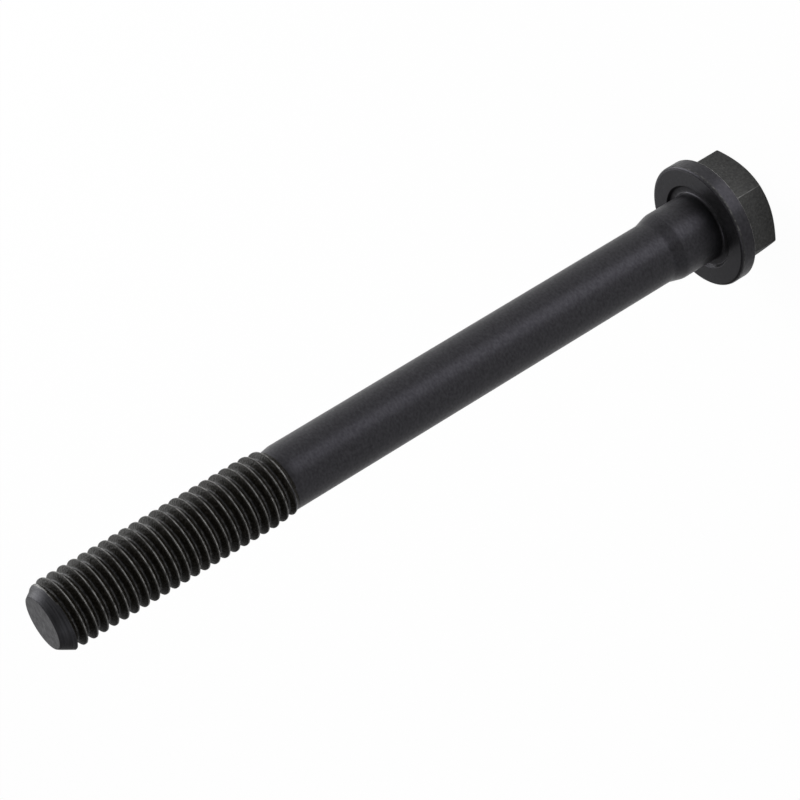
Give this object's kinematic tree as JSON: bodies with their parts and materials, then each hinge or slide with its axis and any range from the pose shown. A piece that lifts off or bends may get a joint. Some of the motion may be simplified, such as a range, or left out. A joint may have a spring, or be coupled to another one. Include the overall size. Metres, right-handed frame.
{
  "type": "cylinder head bolt",
  "caption": "Long flanged hexagon-head bolt with a locating neck, a reduced plain shank and a coarse right-hand thread, for clamping a cylinder head to its block.",
  "frame": {"origin": "centre of the flat top of the head, which the bolt stands on", "axes": "+Z along the bolt's axis, from the top of the head to the tip; one corner of the hexagon points to -Y and two of its flats face +X and -X"},
  "size_m": [0.023, 0.023, 0.1466],
  "materials": {
    "black_steel": "dark phosphated and oiled steel, matte on the head and satin on the neck and shank"
  },
  "bodies": {
    "root": {"head_bolt": "black_steel"}
  },
  "joints": []
}
